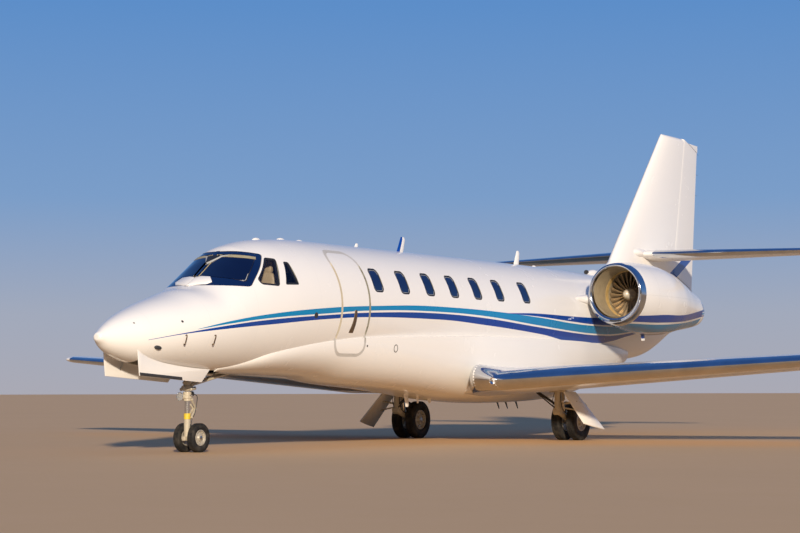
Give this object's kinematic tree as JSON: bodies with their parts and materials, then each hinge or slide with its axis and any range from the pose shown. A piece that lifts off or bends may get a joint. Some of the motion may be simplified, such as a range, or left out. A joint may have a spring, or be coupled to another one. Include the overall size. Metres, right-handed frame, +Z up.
{
  "type": "business jet",
  "caption": "Twin-engined business jet on its landing gear, with rear engines, a low-set tailplane on its fin, a cabin door, moving control surfaces and steered nose wheels.",
  "frame": {"origin": "on the ground under the middle of the aircraft's length and span", "axes": "+X to the aircraft's port side, +Y aft, +Z up; the nose points to -Y"},
  "size_m": [19.3, 19.35, 6.2],
  "materials": {
    "paint": "gloss white paint with blue stripes",
    "bright": "polished",
    "glass": "tinted, clear gloss",
    "tyre": "matt rubber",
    "wheel": "dull painted alloy",
    "leg": "cream gloss",
    "seat": "soft satin",
    "carpet": "matt pile",
    "panel": "matt dark paint",
    "fan": "brushed titanium",
    "core": "heat-stained metal"
  },
  "bodies": {
    "airframe": {"nose_shell": "paint", "cabin_shell": "paint", "tail_shell": "paint", "belly_fairing": "paint", "fin": "paint", "tailplane": "paint", "cabin_floor": "carpet", "instrument_panel": "panel", "windshield_left": "glass", "cockpit_glass_left": "glass", "cabin_windows_left": "glass", "seats_left": "seat", "wing_left": "paint", "nacelle_left": "paint", "pylon_left": "paint", "main_door_left": "paint", "nose_door_left": "paint", "inlet_lip_left": "bright", "engine_core_left": "core", "main_leg_left": "leg", "windshield_right": "glass", "cockpit_glass_right": "glass", "cabin_windows_right": "glass", "seats_right": "seat", "wing_right": "paint", "nacelle_right": "paint", "pylon_right": "paint", "main_door_right": "paint", "nose_door_right": "paint", "inlet_lip_right": "bright", "engine_core_right": "core", "main_leg_right": "leg", "nose_leg": "leg"},
    "cabin_door": {"cabin_door": "paint"},
    "rudder": {"rudder": "paint"},
    "nose_steering": {"nose_steering": "leg"},
    "nose_wheels": {"nose_hubs": "wheel", "nose_tyre_left": "tyre", "nose_tyre_right": "tyre"},
    "flap_left": {"flap_left": "paint"},
    "aileron_left": {"aileron_left": "paint"},
    "elevator_left": {"elevator_left": "paint"},
    "fan_left": {"fan_left": "fan"},
    "main_wheels_left": {"main_hubs_left": "wheel", "main_tyre_left_inner": "tyre", "main_tyre_left_outer": "tyre"},
    "flap_right": {"flap_right": "paint"},
    "aileron_right": {"aileron_right": "paint"},
    "elevator_right": {"elevator_right": "paint"},
    "fan_right": {"fan_right": "fan"},
    "main_wheels_right": {"main_hubs_right": "wheel", "main_tyre_right_inner": "tyre", "main_tyre_right_outer": "tyre"}
  },
  "joints": [
    {"name": "cabin_door_hinge", "type": "hinge", "parent": "airframe", "child": "cabin_door", "pos_m": [0.89, -5.075, 1.371], "axis": [0, 1, 0], "range_deg": [0, 125]},
    {"name": "rudder_hinge", "type": "hinge", "parent": "airframe", "child": "rudder", "pos_m": [0, 7.965, 3.3], "axis": [0, 0.2485, 0.9686], "range_deg": [-25, 25]},
    {"name": "nose_steer", "type": "hinge", "parent": "airframe", "child": "nose_steering", "pos_m": [0, -7.795, 0.5], "axis": [0, 0, 1], "range_deg": [-60, 60]},
    {"name": "nose_wheels_turn", "type": "hinge", "parent": "nose_steering", "child": "nose_wheels", "pos_m": [0, -7.695, 0.203], "axis": [1, 0, 0], "continuous": true},
    {"name": "flap_left_hinge", "type": "hinge", "parent": "airframe", "child": "flap_left", "pos_m": [1.26, 0.53361, 0.99123], "axis": [-0.9967, -0.0543, -0.0603], "range_deg": [0, 35]},
    {"name": "aileron_left_hinge", "type": "hinge", "parent": "airframe", "child": "aileron_left", "pos_m": [6.29, 0.72332, 1.29554], "axis": [-0.9961, -0.065, -0.0603], "range_deg": [-20, 15]},
    {"name": "elevator_left_hinge", "type": "hinge", "parent": "airframe", "child": "elevator_left", "pos_m": [0.36, 7.66971, 3.59], "axis": [-0.9975, -0.0712, 0], "range_deg": [-18, 14]},
    {"name": "fan_left_turn", "type": "hinge", "parent": "airframe", "child": "fan_left", "pos_m": [1.54, 3.025, 2.6], "axis": [0, 1, 0], "continuous": true},
    {"name": "main_wheels_left_turn", "type": "hinge", "parent": "airframe", "child": "main_wheels_left", "pos_m": [1.625, 0.515, 0.33], "axis": [1, 0, 0], "continuous": true},
    {"name": "flap_right_hinge", "type": "hinge", "parent": "airframe", "child": "flap_right", "pos_m": [-1.26, 0.53361, 0.99123], "axis": [-0.9967, 0.0543, 0.0603], "range_deg": [0, 35]},
    {"name": "aileron_right_hinge", "type": "hinge", "parent": "airframe", "child": "aileron_right", "pos_m": [-6.29, 0.72332, 1.29554], "axis": [-0.9961, 0.065, 0.0603], "range_deg": [-20, 15]},
    {"name": "elevator_right_hinge", "type": "hinge", "parent": "airframe", "child": "elevator_right", "pos_m": [-0.36, 7.66971, 3.59], "axis": [-0.9975, 0.0712, 0], "range_deg": [-18, 14]},
    {"name": "fan_right_turn", "type": "hinge", "parent": "airframe", "child": "fan_right", "pos_m": [-1.54, 3.025, 2.6], "axis": [0, 1, 0], "continuous": true},
    {"name": "main_wheels_right_turn", "type": "hinge", "parent": "airframe", "child": "main_wheels_right", "pos_m": [-1.625, 0.515, 0.33], "axis": [1, 0, 0], "continuous": true}
  ]
}
